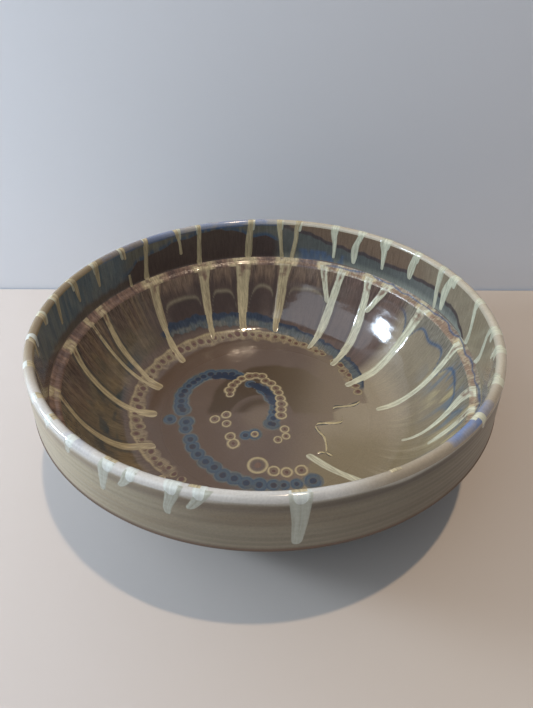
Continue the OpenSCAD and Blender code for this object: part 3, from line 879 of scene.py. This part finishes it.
def band(name, node, slot, material, box, height, mask, colour):
    """A soft-edged band round the off-centre ring; box is (q0, q1, angle0, angle1)."""
    q, deg = np.meshgrid(np.arange(box[0], box[1], 0.6), np.arange(box[2], box[3], 0.35))
    ang = np.radians(deg)
    x, y = RING_C[0] + q * np.cos(ang), RING_C[1] + q * np.sin(ang)
    m = np.clip(mask(q, deg, ang), 0, 1)
    tone = mix(base_tone_at(x, y), colour(q, deg, ang), ramp(m, 0.02, 0.8))
    piece = Patches(name, node, slot, material)
    piece.add(plan_grid(x, y, -0.05 + (height + 0.05) * ramp(m, 0, 0.6)), four(tone, 0.45 * m),
              keep=m > 0.01)
    piece.build()


# The blue band: (angle, upper edge, lower edge), the edges measured from the ring centre.
BAND_AT = [8, 20, 60, 100, 134, 142]
BAND_TOP, BAND_LOW = [110, 118, 120, 123.5, 124, 122], [106, 107, 108, 113, 116, 120]


def blue_mask(q, deg, ang):
    streak = field(ang, q * 0, 200, 9, 81)
    top = np.interp(deg, BAND_AT, BAND_TOP) + 1.2 * streak
    low = np.interp(deg, BAND_AT, BAND_LOW) + 1.6 * streak
    wide = 1.2 * field(ang, q * 0, 24, 9, 82)
    return ramp(q + wide, low - 1.2, low + 1.2) * (1 - ramp(q + wide, top - 1.2, top + 0.8)) * (
        ramp(deg, 6, 14) * (1 - ramp(deg, 136, 143)))


def blue_colour(q, deg, ang):
    streak = 0.5 * field(ang, q, 260, 20, 83) + 0.5 * field(ang, q, 80, 5, 84)
    top = np.interp(deg, BAND_AT, BAND_TOP)
    patchy = streak + cloud(ang, q, 60, 6, 90)
    tone = mix(rgb(84, 90, 92), rgb(106, 104, 96), ramp(patchy, -0.3, 0.7))
    return mix(tone, NAVY, 0.9 * ramp(q + 2.5 * streak, top - 5.5, top - 2.5))


def yellow_mask(q, deg, ang):
    streak = field(ang, q * 0, 150, 9, 85)
    low = 97 + 2.2 * streak + 1.5 * field(ang, q * 0, 22, 9, 86)
    there = ramp(deg, 40, 50) * (1 - ramp(deg, 228, 240)) + bump(deg, 20, 9)
    return 0.95 * ramp(q, low - 3, low + 3) * (1 - ramp(q + streak, 107, 111)) * there


def yellow_colour(q, deg, ang):
    streak = 0.6 * field(ang, q, 220, 14, 87) + 0.4 * field(ang, q, 70, 5, 88)
    tone = mix(STRAW, TAUPE, 0.6 * ramp(streak, 0.0, 0.7))
    blots = ramp(cloud(ang, q, 46, 7, 89), 0.05, 0.35) * bump(q, 104, 4.5)
    tone = mix(tone, rgb(104, 80, 68), 0.8 * blots)
    return mix(tone, YELLOW, 0.7 * bump(q, 108.5 + 1.2 * streak, 1.2))


band("blue_band", "blue_wall_band", "blue_glaze", GLAZE, (101, 128, 4, 146), 0.16,
     blue_mask, blue_colour)
band("yellow_band", "yellow_edge_band", "yellow_glaze", TRAIL, (90, 114, 4, 242), 0.14,
     yellow_mask, yellow_colour)

# ---------------------------------------------------------------- trailed spots and lines
# Curved rows of spots: (centre, radius, first angle, last angle, how many, spot size).
BLUE_ARCS = [
    ((-41.5, 17.5), 36.5, 66, 206, 14, 7.8), ((-32, 1), 41, 62, -26, 10, 6.6),
    ((8, -4), 78.5, 186, 192, 2, 7.2), ((8, -4), 78.5, 202, 268, 10, 7.6),
    ((8, -4), 78.5, 274, 282, 2, 6)]
BLUE_SPOTS = [(-85, -10, 6.5), (-17, -30, 5.5), (-9, -29, 6.5), (7, -18, 6.5), (38, -78, 8)]
NAVY_ARCS = [((-41.5, 17.5), 32, 104, 62, 8, 4.6), ((-32, 1), 41, 62, 12, 9, 5.4)]
YELLOW_ARCS = [((-8, 24), 26, 186, 78, 8, 6.0), ((-38, 8), 53, 42, -16, 8, 5.8)]
YELLOW_SPOTS = [
    (-35, -5, 5.5), (-45, -10, 5.5), (-34, -16, 5), (-30, -31, 5.5), (-27, -39, 6.5), (-9, -29, 4),
    (17, -23, 5), (18, -31, 4.5), (11, -35, 4.5), (7, -68, 6.2), (17.5, -69, 6.2), (29.5, -67, 6.6)]
RING_SPOT = (-6, -62, 9.5)
EDGE_SPOTS = 52
# Thin trailed lines that cross the floor on the right.
ZIGZAGS = [
    [(88, 14), (84, 10), (78, 8), (65, 7), (62, 5), (62, 1)],
    [(69, -6), (69, -12), (64, -14), (53, -14), (46, -15), (44, -19), (46, -24), (51, -31),
     (52, -43), (51, -48), (44, -48)],
    [(51, -48), (56, -52)]]


def arc_spots(arcs):
    out = []
    for c, r, a0, a1, n, size in arcs:
        for a in np.radians(np.linspace(a0, a1, n)):
            out.append((c[0] + r * math.cos(a), c[1] + r * math.sin(a), size))
    return out


def jitter(spots, seed, amount):
    g = np.random.default_rng(seed)
    return [(x + g.normal() * amount, y + g.normal() * amount, r * (1 + 0.08 * g.normal()))
            for x, y, r in spots]


def nearest(spots, x, y):
    """Distance to the nearest spot as a part of its size: 0 at its centre, 1 at its edge."""
    best = np.full(x.shape, 9.0)
    for cx, cy, size in spots:
        best = np.minimum(best, np.hypot(x - cx, y - cy) / size)
    return best


def decal(name, node, slot, box, height, base, mask, colour):
    """Thin slip on the floor: mask(x, y) from 0 to 1, colour(x, y); box is (x0, x1, y0, y1)."""
    x, y = np.meshgrid(np.arange(box[0], box[1], 0.6), np.arange(box[2], box[3], 0.6),
                       indexing="ij")
    m = np.clip(mask(x, y), 0, 1)
    tone = mix(base_tone_at(x, y), colour(x, y), ramp(m, 0.05, 0.9))
    piece = Patches(name, node, slot, TRAIL)
    piece.add(plan_grid(x, y, base + (height - base) * m), four(tone, 0.0), keep=m > 0.02)
    return piece


blue_spots = jitter(arc_spots(BLUE_ARCS), 5, 0.7) + BLUE_SPOTS
navy_spots = jitter(arc_spots(NAVY_ARCS), 7, 0.6) + [(x, y, 0.5 * r) for x, y, r in blue_spots]
yellow_spots = jitter(arc_spots(YELLOW_ARCS), 6, 0.7) + YELLOW_SPOTS


def blue_trail_mask(x, y):
    d = nearest(blue_spots, x, y) + 0.08 * plan_cloud(x, y, 5, 91)
    return 1 - ramp(d, 0.92, 1.12)


def blue_trail_colour(x, y):
    d = nearest(blue_spots, x, y) + 0.1 * plan_cloud(x, y, 4, 92)
    tone = mix(rgb(70, 78, 84), BLUE, ramp(d, 0.3, 0.5))
    tone = mix(tone, rgb(58, 70, 90), 0.8 * bump(d, 0.74, 0.07))
    tone = mix(tone, rgb(104, 104, 97), 0.85 * ramp(d, 0.8, 0.9))
    return mix(tone, rgb(88, 88, 82), 0.5 * ramp(plan_cloud(x, y, 5, 93), 0, 0.6))


def navy_mask(x, y):
    d = nearest(navy_spots, x, y) + 0.15 * plan_cloud(x, y, 4, 94)
    return 1 - ramp(d, 0.55, 1.0)


def yellow_trail_mask(x, y):
    return 1 - ramp(nearest(yellow_spots, x, y) + 0.06 * plan_cloud(x, y, 4, 95), 0.86, 1.02)


def yellow_trail_colour(x, y):
    d = nearest(yellow_spots, x, y) + 0.06 * plan_cloud(x, y, 3, 96)
    d = d + 0.08 * plan_cloud(x, y, 9, 98)
    tone = mix(rgb(112, 95, 79), rgb(128, 114, 94), ramp(d, 0.8, 0.9))
    return mix(tone, YELLOW * 1.08, bump(d, 0.7, 0.11))


def navy_colour(x, y):
    return mix(NAVY, UMBER, 0.5 * ramp(plan_cloud(x, y, 7, 97), 0, 0.6))


decal("blue_trail", "blue_floor_trail", "blue_glaze", (-96, 50, -92, 66), 0.10, -0.05,
      blue_trail_mask, blue_trail_colour).build()
decal("navy_spots", "navy_dots", "navy_glaze", (-92, 50, -90, 60), 0.14, 0.07, navy_mask,
      navy_colour).build()
rings = decal("yellow_trail", "yellow_floor_trail", "yellow_glaze", (-52, 38, -78, 58), 0.22, -0.04,
              yellow_trail_mask, yellow_trail_colour)
rust = Patches("iron_spots", "brown_dots", "iron_brown_glaze", TRAIL)
for k, (x, y, r) in enumerate(yellow_spots):
    blob(rust, x, y, r * 0.42, 0.27,
         lambda rho: mix(RUST, rgb(110, 92, 76), ramp(rho, 0.4, 1.0)), 1100 + k, wobble=0.2)
blob(rings, *RING_SPOT, 0.18, lambda rho: mix(TAUPE, YELLOW, bump(rho, 0.8, 0.13)), 1090, rings=16,
     spokes=48, wobble=0.03)
blob(rust, *RING_SPOT[:2], 4.6, 0.24,
     lambda rho: mix(rgb(112, 88, 74), TAUPE, ramp(rho, 0.4, 1)), 1091)


def edge_spots(many, first, last):
    """The ring of brown-centred spots at the edge of the floor, between two angles."""
    draw = np.random.default_rng(12)
    halo = rgb(112, 92, 74)
    for k in range(many):
        a = first + (last - first) * k / (many - 1)
        if 32 < a < 46 and k % 2:
            continue
        q = RING_R + draw.normal() * 1.0
        size = (3.9 if a < 115 or a > 215 else 4.5) * (1 + 0.12 * draw.normal())
        x = RING_C[0] + q * math.cos(math.radians(a))
        y = RING_C[1] + q * math.sin(math.radians(a))
        blob(rings, x, y, size, 0.22, lambda rho: mix(halo, YELLOW * 0.72, bump(rho, 0.82, 0.16)),
             1200 + k, spokes=20, base=0.09, wobble=0.3)
        blob(rust, x, y, size * (0.6 + 0.1 * draw.normal()), 0.26,
             lambda rho: mix(RUST, rgb(116, 96, 76), ramp(rho, 0.6, 1.0)), 1300 + k, rings=6,
             spokes=16, base=0.15, wobble=0.25)


edge_spots(EDGE_SPOTS, 8, 240)
for k, line in enumerate(ZIGZAGS):
    path = [(float(s_of_r(math.hypot(x, y))), math.degrees(math.atan2(y, x))) for x, y in line]
    # A dark outline first, then the yellow line on it.
    ribbon(rings, [(s, a, 4.6) for s, a in path], 0.1, run_paint(rgb(84, 82, 76), SLATE, 1400 + k),
           base_tone, 1410 + k, step=0.5, tips=(True, True), ragged=0.5, across=9)
    ribbon(rings, [(s, a, 2.8) for s, a in path], 0.26, run_paint(YELLOW * 1.05, FAWN, 1400 + k),
           base_tone, 1420 + k, step=0.5, tips=(True, True), ragged=0.35, across=9)
rings.build()
rust.build()


# ---------------------------------------------------------------- stage
def plain(name, left, right):
    """A matt surface whose colour changes softly from its left to its right."""
    material, tree, bsdf = shader(name, 0.9, 0.0)
    bsdf.inputs["Specular IOR Level"].default_value = 0.2
    across = map_range(tree, part(tree, object_point(tree), "X"), -0.12, 0.12, 0, 1)
    two_colours(tree, bsdf, across, left, right)
    return material


def plane(name, corners, material):
    mesh = bpy.data.meshes.new(name)
    mesh.from_pydata(corners, [], [(0, 1, 2, 3)])
    mesh.materials.append(material)
    obj = bpy.data.objects.new(name, mesh)
    bpy.context.scene.collection.objects.link(obj)


# Metres from the middle of the bowl to the wall behind it.
BACK_Y = 0.24
CLOTH_LEFT, CLOTH_RIGHT = (0.575, 0.52, 0.48), (0.555, 0.485, 0.42)
WALL = (0.76, 0.755, 0.765)
plane("floor", [(-3, -3, 0), (3, -3, 0), (3, BACK_Y, 0), (-3, BACK_Y, 0)],
      plain("cloth", CLOTH_LEFT, CLOTH_RIGHT))
plane("backdrop", [(-3, BACK_Y + 0.002, -1), (3, BACK_Y + 0.002, -1), (3, BACK_Y + 0.002, 2.5),
                   (-3, BACK_Y + 0.002, 2.5)], plain("wall", WALL, WALL))


def area(name, az, el, dist, width, height, power, colour):
    """A soft lamp at a compass angle and a height angle, aimed at the bowl."""
    light = bpy.data.lights.new(name, "AREA")
    light.shape = "RECTANGLE"
    light.energy = power
    light.color = colour
    light.size = width
    light.size_y = height
    obj = bpy.data.objects.new(name, light)
    a, e = math.radians(az), math.radians(el)
    obj.location = (dist * math.cos(e) * math.cos(a), dist * math.cos(e) * math.sin(a),
                    0.06 + dist * math.sin(e))
    obj.rotation_euler = (math.pi / 2 - e, 0, a + math.pi / 2)
    bpy.context.scene.collection.objects.link(obj)


# Compass angle and height angle, distance, width and height in metres, watts, colour.
area("lamp", -16.3, 83.3, 3.665, 0.10, 0.10, 50, (1.0, 0.79, 0.575))
area("window", 180, 20, 1.3, 0.28, 0.21, 11, (0.70, 0.84, 1.0))
area("sky_panel", -146, 45, 1.5, 1.64, 1.16, 10.5, (0.77, 0.88, 1.0))
world = bpy.data.worlds.new("room")
world.use_nodes = True
world.node_tree.nodes["Background"].inputs["Color"].default_value = (0.64, 0.79, 1.0, 1)
world.node_tree.nodes["Background"].inputs["Strength"].default_value = 0.24
bpy.context.scene.world = world
bpy.context.scene.view_settings.view_transform = "Standard"

# ---------------------------------------------------------------- camera
lens = bpy.data.cameras.new("camera")
lens.lens = 25.93
lens.sensor_width = 36
lens.sensor_fit = "AUTO"
camera = bpy.data.objects.new("camera", lens)
camera.location = (0.00015, -0.33483, 0.33853)
camera.rotation_mode = "XYZ"
camera.rotation_euler = (math.radians(52.34), math.radians(-0.18), 0)
bpy.context.scene.collection.objects.link(camera)
bpy.context.scene.camera = camera
